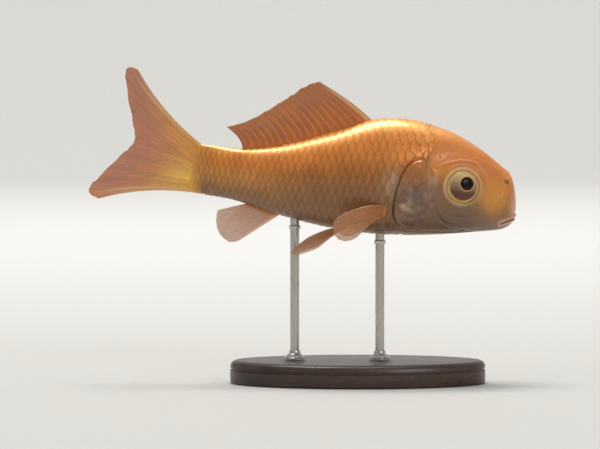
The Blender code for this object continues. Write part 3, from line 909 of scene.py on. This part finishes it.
def paired_sheet(root_ends, tip_points, side, arch):
    """A pectoral or pelvic fin from two places on the flank, given as (s, turn), to its free edge."""

    def sheet(u, v):
        (s0, turn0), (s1, turn1) = root_ends
        s, turn = s0 + (s1 - s0) * u, turn0 + (turn1 - turn0) * u
        root = body(s, turn) - normals(s, turn) * PAIRED_SINK
        inside, outside = np.minimum(v, 0)[..., None], np.maximum(v, 0)[..., None]
        points = root + (curve(tip_points, u) - root) * outside + normals(s, turn) * 0.3 * inside
        points[..., 2] += arch * np.sin(math.pi * v)
        return points * np.array([1, side, 1])

    return sheet


PECTORAL_EDGE = (
    (0.530, 0.185, -0.078), (0.600, 0.214, -0.108), (0.545, 0.150, -0.208), (0.484, 0.110, -0.148),
)
PELVIC_EDGE = (
    (0.600, 0.098, -0.200), (0.680, 0.110, -0.245), (0.712, 0.060, -0.240), (0.640, 0.034, -0.176),
)


def ray_ridges(u, v, count, first_fork, second_fork):
    """1 on a fin ray and 0 on the membrane between rays, which fork twice on their way out."""
    across = (u * count) % 1 - 0.5
    first = 0.22 * ease(v, first_fork, first_fork + 0.45)
    second = 0.11 * ease(v, second_fork, second_fork + 0.35)
    width = 0.170 - 0.055 * ease(v, first_fork, first_fork + 0.3) - 0.035 * ease(v, second_fork, 1.0)
    return ease(np.abs(np.abs(np.abs(across) - first) - second), width, 0.25 * width)


def ragged(u, count):
    """The share by which a fin's edge falls short between its rays, a little unevenly."""
    between = np.abs(2 * ((u * count) % 1) - 1) ** 2
    branches = np.abs(2 * ((u * count * 2 + 0.5) % 1) - 1) ** 2
    worn = np.sin(31 * u + 1) * np.sin(17 * u) + 0.4 * np.sin(71 * u + 3 * np.sin(13 * u))
    return 0.009 * between * (0.6 + 0.4 * np.sin(23 * u)) + 0.006 * branches + 0.008 * (1.4 + worn)


def both_faces(values):
    return np.concatenate([values, values[:, ::-1]], axis=1)


def fin_rays(u, v, count, forks, stout, bare):
    """1 on a fin's rays, and 1 on its stout rays alone."""
    spine = np.zeros(u.shape)
    for edge in stout:
        spine = np.maximum(spine, hump(u - edge, 0.30 / count) * ease(v, 1.05, 0.6))
    ridge = np.maximum(ray_ridges(u, v, count, *forks), spine)
    return ridge * ease(v, bare - 0.01, bare + 0.10), spine


FIN_THIN, FIN_THICKER = 0.05, 0.04  # millimetres of membrane at the edge, and what the root has over it
RAY_THIN, RAY_THICKER = 0.06, 0.15  # the same for what the rays add


def fin_half(u, v, ridge, spine, flesh):
    """Half of a fin's thickness."""
    inwards, edge = 1 - np.clip(v, 0, 1), np.abs(2 * u - 1)
    membrane = FIN_THIN + FIN_THICKER * inwards
    membrane = membrane + flesh * hump(np.maximum(v, 0), 0.09) * (1 - 0.8 * edge**5)
    bones = (RAY_THICKER * inwards**1.2 + RAY_THIN) * ridge * (1 + 0.5 * spine)
    thin_edge = np.sqrt(np.clip(1 - edge**60, 0.05, 1)) * np.sqrt(np.clip((1 - v) * 30, 0.15, 1))
    return 0.5 * MM * (membrane + bones) * thin_edge


def sheet_normals(sheet, u, v):
    step = 2e-3
    across = sheet(np.clip(u + step, 0, 1), v) - sheet(np.clip(u - step, 0, 1), v)
    return unit_cross(across, sheet(u, v + step) - sheet(u, v - step))


def make_fin(name, sheet, look, nodes, rays, grid, stout, root, forks=(0.36, 0.62), flesh=0.6, bare=0.0):
    """A fin of one closed mesh: rays that stand out on both faces of a thin membrane.

    stout lists the values of u whose ray is a thick, pale one, root is how far under the skin the
    fin starts, forks are the places on the way out where rays fork, flesh is how many millimetres
    the root is thickened by, and bare is the share of the fin that the flesh keeps smooth.
    """
    across, along = grid
    u, v = np.meshgrid(np.linspace(0, 1, across), np.linspace(root, 1, along), indexing="xy")
    ridge, spine = fin_rays(u, v, rays, forks, stout, bare)
    reach = v * (1 - ragged(u, rays) * ease(v, 0.5, 1.0))
    middle = sheet(u, reach)
    outwards = sheet_normals(sheet, u, reach) * fin_half(u, v, ridge, spine, flesh)[..., None]
    points = np.concatenate([middle + outwards, (middle - outwards)[:, ::-1]], axis=1)
    columns = 2 * across
    faces = grid_faces(along, columns, True)
    side = np.arange(across - 1)
    cap = stack(side, side + 1, columns - 2 - side, columns - 1 - side)
    faces = np.concatenate([faces, cap[:, ::-1], cap + (along - 1) * columns])
    fin = build(name, place(points), faces[:, ::-1].tolist(), look)
    for key, values in (("ray", ridge), ("out", np.clip(v, 0, 1)), ("spine", spine)):
        store(fin, key, both_faces(values))
    store(fin, "fan", stack(both_faces(u * rays), both_faces(1.6 * v), 0))
    row, column = np.divmod(corners(fin), columns)
    face_start = np.where(column < across, 0.01, 0.51)
    face_u = np.where(column < across, column, columns - 1 - column) / (across - 1)
    unwrap(fin, stack(face_start + 0.47 * face_u, inset(row / (along - 1))))
    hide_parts(*nodes)


def make_fins(back_look, tail_look, belly_look):
    front = (0.0, 0.03)
    make_fin("dorsal_fin_rays", dorsal_sheet, back_look, ["dorsal_fin"], 18, (400, 50), front, -0.10)
    front = (0.0, 0.06)
    make_fin("anal_fin_rays", anal_sheet, belly_look, ["anal_fin"], 8, (170, 44), front, -0.10)
    lobes = ["tail_fin_upper_lobe", "tail_fin_lower_lobe"]
    both, forks = (0.0, 0.035, 0.965, 1.0), (0.24, 0.50)
    make_fin("tail_fin_rays", tail_sheet, tail_look, lobes, TAIL_RAYS, (520, 88), both, -0.05, forks)
    for name, side in (("left", 1), ("right", -1)):
        for kind, root, edge, arch, rays, grid, flesh in (
            ("pectoral", PECTORAL_ROOT, PECTORAL_EDGE, 0.010, 13, (260, 50), 1.1),
            ("pelvic", PELVIC_ROOT, PELVIC_EDGE, 0.008, 9, (190, 46), 0.9),
        ):
            sheet, nodes = paired_sheet(root, edge, side, arch), [f"{kind}_fin_{name}"]
            lobe = {"flesh": flesh, "bare": 0.09}
            make_fin(f"{kind}_rays_{name}", sheet, belly_look, nodes, rays, grid, (0.0,), -0.07, **lobe)


# -------- materials
def feed(tree, made, inputs):
    """Set a node's inputs to values, or link sockets to them."""
    for key, value in inputs.items():
        if isinstance(value, bpy.types.NodeSocket):
            tree.links.new(value, made.inputs[key])
        else:
            made.inputs[key].default_value = value


def node(tree, kind, inputs=None, **settings):
    """A shader node with its settings and inputs."""
    made = tree.nodes.new(kind)
    for key, value in settings.items():
        setattr(made, key, value)
    feed(tree, made, inputs or {})
    return made


def material(name, recipe, *details):
    """A material whose recipe adds nodes to its tree and gives the inputs of its shader."""
    made = bpy.data.materials.new(name)
    made.use_nodes = True
    tree = made.node_tree
    feed(tree, tree.nodes["Principled BSDF"], recipe(tree, *details))
    return made


def attribute(tree, name, output="Fac"):
    return node(tree, "ShaderNodeAttribute", attribute_name=name).outputs[output]


def maths(tree, operation, first, second=0.0, third=0.0):
    return node(tree, "ShaderNodeMath", {0: first, 1: second, 2: third}, operation=operation).outputs[0]


def product(tree, first, second):
    return maths(tree, "MULTIPLY", first, second)


def mix(tree, share, first, second, blend="MIX"):
    """Two colours mixed. A plain colour is given as three numbers."""
    made = node(tree, "ShaderNodeMix", data_type="RGBA", blend_type=blend)
    plain = {6: first, 7: second}
    for index, value in plain.items():
        if not isinstance(value, bpy.types.NodeSocket):
            plain[index] = (*value, 1)
    feed(tree, made, {0: share, **plain})
    return made.outputs[2]


def times(tree, tint, factor):
    """A colour multiplied by another."""
    return mix(tree, 1.0, tint, factor, "MULTIPLY")


def patchy(tree, tint, share, low, high):
    """A colour that a value darkens and lightens, by factors from low to high."""
    return times(tree, tint, mix(tree, share, (low,) * 3, (high,) * 3))


def spread(tree, value, low, high, to_low=0.0, to_high=1.0):
    """A value stretched from one range to another and held inside it."""
    inputs = {"Value": value, "From Min": low, "From Max": high, "To Min": to_low, "To Max": to_high}
    return node(tree, "ShaderNodeMapRange", inputs).outputs["Result"]


def varied(tree, value, low=0.0, high=1.0):
    """A value from low to high that follows a noise, which keeps mostly between 0.3 and 0.7."""
    return spread(tree, value, 0.3, 0.7, low, high)


def grain_along(tree, *scale):
    """Places on the object, squeezed so that noise is drawn out along the grain."""
    where = node(tree, "ShaderNodeTexCoord").outputs["Object"]
    return node(tree, "ShaderNodeMapping", {"Vector": where, "Scale": scale}).outputs[0]


def noise(tree, size, detail=3.0, roughness=0.55, vector=None):
    """Noise whose blobs are about size metres across."""
    where = vector or node(tree, "ShaderNodeTexCoord").outputs["Object"]
    inputs = {"Vector": where, "Scale": 1 / size, "Detail": detail, "Roughness": roughness}
    return node(tree, "ShaderNodeTexNoise", inputs).outputs["Fac"]


def bump(tree, height, distance, strength=1.0, before=None):
    inputs = {"Height": height, "Distance": distance, "Strength": strength}
    if before is not None:
        inputs["Normal"] = before
    return node(tree, "ShaderNodeBump", inputs).outputs["Normal"]


def wet_skin(tree):
    fine, broad = noise(tree, 0.0006), noise(tree, 0.0045, 4.0)
    tint = patchy(tree, attribute(tree, "tint", "Color"), broad, 0.84, 1.14)
    tint = patchy(tree, tint, fine, 0.92, 1.07)
    silver_sheen = attribute(tree, "silver_sheen")
    # pale flecks on the cheek and gill cover: partly their own silver, partly painted sheen
    flecks = spread(tree, noise(tree, 0.0014, 5.0, 0.6), 0.42, 0.78, 0.0, 0.30)
    flecks = product(tree, silver_sheen, flecks)
    tint = mix(tree, flecks, tint, PEARL_GLINT)
    specks = spread(tree, noise(tree, 0.00020, 2.0), 0.57, 0.72)
    specks = product(tree, attribute(tree, "bare"), specks)
    tint = mix(tree, specks, tint, times(tree, tint, (0.87, 0.79, 0.72)))
    return {
        "Base Color": tint,
        "Metallic": spread(tree, attribute(tree, "glint"), 0.0, 1.0, 0.14, 0.44),
        "Roughness": varied(tree, broad, 0.30, 0.42),
        "Coat Weight": 0.35,
        "Coat Roughness": 0.14,
        "Normal": bump(tree, fine, 0.00005, 0.6, bump(tree, broad, 0.00014, 0.5)),
    }


def gold_scales(tree):
    """Each scale has fine growth rings round its root, and its own share of metallic glint."""
    parts = node(tree, "ShaderNodeSeparateXYZ", {0: attribute(tree, "local", "Vector")})
    along, across, own = maths(tree, "ADD", parts.outputs[0], 0.45), parts.outputs[1], parts.outputs[2]
    squares = maths(tree, "MULTIPLY_ADD", along, along, product(tree, across, across))
    uneven = product(tree, noise(tree, 0.0012), 9.0)
    rings = maths(tree, "SINE", maths(tree, "MULTIPLY_ADD", maths(tree, "SQRT", squares), 80.0, uneven))
    fine, broad = noise(tree, 0.0005), noise(tree, 0.004, 4.0)
    tint = patchy(tree, attribute(tree, "tint", "Color"), broad, 0.86, 1.12)
    tint = patchy(tree, tint, fine, 0.90, 1.09)
    return {
        "Base Color": tint,
        "Metallic": spread(tree, own, 0.0, 1.0, 0.24, 0.44),
        "Roughness": varied(tree, broad, 0.29, 0.40),
        "Coat Weight": 0.3,
        "Coat Roughness": 0.16,
        "Normal": bump(tree, rings, 0.000004, 0.14, bump(tree, fine, 0.00005, 0.6)),
    }


def fish_eye(tree):
    """A black pupil in a thin gold ring, and a brown iris that pales towards its top, with painted shade
    where the eyeball meets its socket.
    """
    gaze, far, up, spoke = (attribute(tree, name) for name in ("gaze", "far", "up", "spoke"))
    flecks = noise(tree, 0.0004, 4.0)
    spokes = maths(tree, "SINE", product(tree, spoke, 38.0))
    grain = maths(tree, "ADD", flecks, product(tree, spokes, 0.05))
    iris = mix(tree, spread(tree, up, -0.32, 0.66), IRIS_BROWN, IRIS_CREAM)
    iris = mix(tree, spread(tree, grain, 0.35, 0.70, 0.5, 0.0), iris, (0.03, 0.015, 0.01))
    white = mix(tree, flecks, EYE_CREAM, EYE_GOLD)
    iris = mix(tree, spread(tree, far, IRIS, IRIS + 0.006), iris, white)
    # painted shade in a thin ring where the eyeball meets its socket
    iris = mix(tree, spread(tree, far, 0.0495, 0.0525), iris, SOCKET_SHADE)
    tint = mix(tree, spread(tree, gaze, PUPIL_RING, PUPIL_RING + 0.0014), EYE_GOLD, iris)
    hole = spread(tree, gaze, PUPIL - 0.0006, PUPIL + 0.0008)
    return {
        "Base Color": mix(tree, hole, (0.004, 0.001, 0.001), tint),
        "Metallic": product(tree, hole, 0.40),
        "Roughness": varied(tree, flecks, 0.28, 0.40),
        "Specular IOR Level": 0.1,
        "Coat Weight": 0.4,
        "Coat Roughness": 0.02,
        "Coat IOR": 1.38,
    }


def ray_fin(tree, near, far, clear, patch=0.0):
    """Pale rays, cross-barred by their joints, in a thin streaked skin that the light comes through.

    near and far are the colours at the root and the free edge, clear is how much the skin hides at
    that edge, and patch is the strength of a yellow patch at the root of the fin's last rays.
    """
    ray, out, spine = (attribute(tree, name) for name in ("ray", "out", "spine"))
    cloud, fine = noise(tree, 0.004, 3.0), noise(tree, 0.0005)
    streaks = noise(tree, 0.9, 4.0, 0.6, attribute(tree, "fan", "Vector"))
    tint = mix(tree, spread(tree, out, 0.08, 0.75), near, far)
    if patch:
        fan = node(tree, "ShaderNodeSeparateXYZ", {0: attribute(tree, "fan", "Vector")}).outputs[0]
        low = product(tree, spread(tree, fan, 9.0, 14.0), spread(tree, fan, 22.0, 18.0))
        yellow = product(tree, low, spread(tree, out, 0.48, 0.22, 0.0, patch))
        tint = mix(tree, yellow, tint, TAIL_YELLOW)
    tint = patchy(tree, tint, cloud, 0.82, 1.16)
    tint = patchy(tree, tint, varied(tree, streaks), 0.80, 1.18)
    tint = mix(tree, product(tree, ray, 0.20), tint, FIN_PALE)
    tint = mix(tree, product(tree, spine, 0.60), tint, FIN_PALE)
    joints = maths(tree, "SINE", product(tree, out, 260.0))
    joints = product(tree, ray, spread(tree, joints, 0.4, 1.0))
    tint = mix(tree, joints, tint, times(tree, tint, (0.86, 0.82, 0.78)))
    thin = spread(tree, out, 0.05, 0.9, clear + 0.16, clear)
    thin = maths(tree, "ADD", thin, varied(tree, streaks, -0.08, 0.08))
    solid = maths(tree, "MAXIMUM", thin, spread(tree, ray, 0.2, 0.9, 0.0, clear + 0.14))
    solid = maths(tree, "MAXIMUM", solid, spread(tree, out, 0.14, 0.04))
    return {
        "Base Color": tint,
        "Roughness": varied(tree, fine, 0.38, 0.50),
        "Coat Weight": 0.12,
        "Coat Roughness": 0.2,
        "Alpha": solid,
        "Normal": bump(tree, fine, 0.00004, 0.5),
    }


def dark_wood(tree):
    stretched = grain_along(tree, 0.12, 1.0, 1.0)
    grain = noise(tree, 0.0009, 6.0, 0.6, stretched)
    bands = noise(tree, 0.006, 3.0, 0.5, stretched)
    tint = mix(tree, varied(tree, bands), colour(46, 29, 20), colour(84, 52, 33))
    tint = mix(tree, spread(tree, grain, 0.42, 0.62), mix(tree, 0.5, tint, (0.008, 0.005, 0.004)), tint)
    return {
        "Base Color": tint,
        "Roughness": varied(tree, grain, 0.34, 0.48),
        "Coat Weight": 0.25,
        "Coat Roughness": 0.18,
        "Normal": bump(tree, grain, 0.00005, 0.5),
    }


def satin_steel(tree):
    lines = noise(tree, 0.00025, 4.0, 0.6, grain_along(tree, 1.0, 1.0, 0.05))
    tint = mix(tree, lines, colour(168, 164, 158), colour(206, 203, 198))
    return {
        "Base Color": tint,
        "Metallic": 1.0,
        "Roughness": varied(tree, lines, 0.20, 0.34),
        "Normal": bump(tree, lines, 0.00001, 0.4),
    }


def pale_floor(tree):
    grain = noise(tree, 0.002, 2.0)
    tint = mix(tree, grain, colour(188, 187, 184), colour(194, 193, 190))
    return {"Base Color": tint, "Roughness": 0.8}


# -------- stand, studio and camera
BASE_LENGTH, BASE_WIDTH, BASE_HEIGHT = 0.056, 0.030, 0.005
BASE_CORNERS, ROD_SEGMENTS = 160, 64
SHARP_PLATE, SHARP_ROD = math.radians(40), math.radians(35)  # edges sharper than this stay crisp
BASE_PROFILE = (  # inset from the oval's edge, and height, from the foot up to the top
    (0.0005, 0.0), (0.0001, 0.0002), (0.0, 0.0005), (0.0, 0.0030), (0.0003, 0.0031), (0.0003, 0.0034),
    (0.0, 0.0035), (0.0001, 0.0042), (0.0004, 0.0047), (0.0010, BASE_HEIGHT), (0.0030, BASE_HEIGHT),
)


def make_base(look):
    """An oval plate with a softened foot, a fine groove round it and a rounded shoulder."""
    inwards, height = np.array(BASE_PROFILE).T
    rings = turned(BASE_LENGTH / 2 - inwards, height, BASE_CORNERS, (BASE_LENGTH - BASE_WIDTH) / 2)
    plate = build("stand_plate", rings, capped(len(rings), BASE_CORNERS), look)
    plate.data.set_sharp_from_angle(angle=SHARP_PLATE)
    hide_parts("stand_base")


ROD_INSERT = 0.0035  # how far a rod reaches into the belly
ROD_FOOT = (  # radius, and height over the plate, from the foot up to the shank
    (0.0024, 0.0), (0.0024, 0.00025), (0.00225, 0.0004), (0.0019, 0.00046), (0.00185, 0.0006),
    (0.0014, 0.0011), (0.00125, 0.0012), (0.00125, 0.0017), (0.00118, 0.0018), (0.0010, 0.00185),
)
ROD_COLLAR = (  # radius, and height over the belly, from the shank up into the fish
    (0.0010, -0.0022), (0.00118, -0.00215), (0.00125, -0.0020),
    (0.00125, -0.0014), (0.0010, -0.0012), (0.0010, 0.0034),
)


def make_rod(name, look):
    """A turned rod with a spreading foot, and a collar under the belly."""
    low, high = (np.array(corner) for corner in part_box(name))
    belly = high[2] - ROD_INSERT
    profile = [(radius, low[2] + height) for radius, height in ROD_FOOT]
    profile += [(radius, belly + height) for radius, height in ROD_COLLAR]
    rings = turned(*np.array(profile).T, ROD_SEGMENTS)
    rings[..., :2] += (low[:2] + high[:2]) / 2
    rod = build(name.replace("rod", "pin"), rings, capped(len(rings), ROD_SEGMENTS), look)
    rod.data.set_sharp_from_angle(angle=SHARP_ROD)
    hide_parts(name)


def make_stand(wood, metal):
    make_base(wood)
    for name in ("stand_rod_front", "stand_rod_rear"):
        make_rod(name, metal)


FLOOR_REACH, FLOOR_SWEEP = 1.1, 0.5  # where the flat floor ends, and the radius of the sweep behind it
FLOOR_MIDDLE, FLOOR_CORNERS = 0.05, 96  # radius of the face in the middle, and corners of each ring


def make_floor(look):
    """A round floor that sweeps up a little all the way round."""
    arc = np.linspace(0, math.pi / 2, 16)
    reach = np.concatenate([[FLOOR_MIDDLE], FLOOR_REACH + FLOOR_SWEEP * np.sin(arc)])
    height = np.concatenate([[0], FLOOR_SWEEP * (1 - np.cos(arc))])
    rings = turned(reach, height, FLOOR_CORNERS)
    faces = capped(len(rings), FLOOR_CORNERS)[:-1]  # open at the top
    add_mesh("floor", rings, faces, look)


def aim(obj, spot, target):
    """Set a light or the camera down at a spot, facing a target."""
    obj.location = spot
    obj.rotation_euler = (Vector(target) - Vector(spot)).to_track_quat("-Z", "Y").to_euler()


def area_light(name, spot, target, size, power, tint=(1, 1, 1)):
    light = bpy.data.lights.new(name, "AREA")
    light.shape = "RECTANGLE"
    light.size, light.size_y = size
    light.energy = power
    light.color = tint
    aim(add_object(name, light), spot, target)


def make_lights():
    """A broad soft light above and a little behind, a weak one in front, and a pale room."""
    middle = (0, 0, AXIS_HEIGHT)
    area_light("key_above", (-0.10, 0.25, 1.30), middle, (0.70, 0.50), 17.0, (1.0, 0.97, 0.92))
    area_light("fill_front", (0.60, -1.00, 0.55), middle, (0.50, 0.40), 2.6)
    area_light("backdrop", (0.0, 0.45, 0.80), (0.0, 1.55, 0.20), (1.0, 0.25), 7.0)
    world = bpy.data.worlds.new("studio")
    world.use_nodes = True
    background = world.node_tree.nodes["Background"]
    background.inputs["Color"].default_value = (0.96, 0.98, 1.0, 1)
    background.inputs["Strength"].default_value = 0.50
    bpy.context.scene.world = world
    bpy.context.scene.view_settings.view_transform = "Standard"


CAMERA_DISTANCE, CAMERA_ELEVATION = 0.80, math.radians(3)
CAMERA_FILL = 0.72  # the share of the picture's width that the fish takes up


def make_camera():
    """Side on from the fish's right, a little above it, near enough for fish and stand to fill the view."""
    low, high = cad_box
    camera = bpy.data.cameras.new("camera")
    camera.lens = camera.sensor_width * CAMERA_DISTANCE * CAMERA_FILL / (high[0] - low[0])
    obj = add_object("camera", camera)
    middle = Vector(((low[0] + high[0]) / 2, 0, (low[2] + high[2]) / 2))
    ray = Vector((0, -math.cos(CAMERA_ELEVATION), math.sin(CAMERA_ELEVATION)))
    aim(obj, middle + CAMERA_DISTANCE * ray, middle)
    bpy.context.scene.camera = obj


def main():
    make_skin(material("wet_skin", wet_skin))
    wrap = Wrap()
    scales = material("gold_scales", gold_scales)
    sides, middle = scale_roots(wrap), midline_roots(wrap)
    make_scales("scales_left", sides + middle, 1, wrap, scales, 3)
    make_scales("scales_right", sides, -1, wrap, scales, 5)
    eye = material("fish_eye", fish_eye)
    for side in (1, -1):
        make_eye(side, eye)
    make_fins(
        material("back_fin_skin", ray_fin, FIN_ORANGE, FIN_ROSE, 0.78),
        material("tail_skin", ray_fin, TAIL_GOLD, TAIL_ROSE, 0.78, 0.7),
        material("belly_fin_skin", ray_fin, FIN_TAN, FIN_BLUSH, 0.52),
    )
    make_stand(material("dark_wood", dark_wood), material("satin_steel", satin_steel))
    make_floor(material("pale_floor", pale_floor))
    make_lights()
    make_camera()


main()
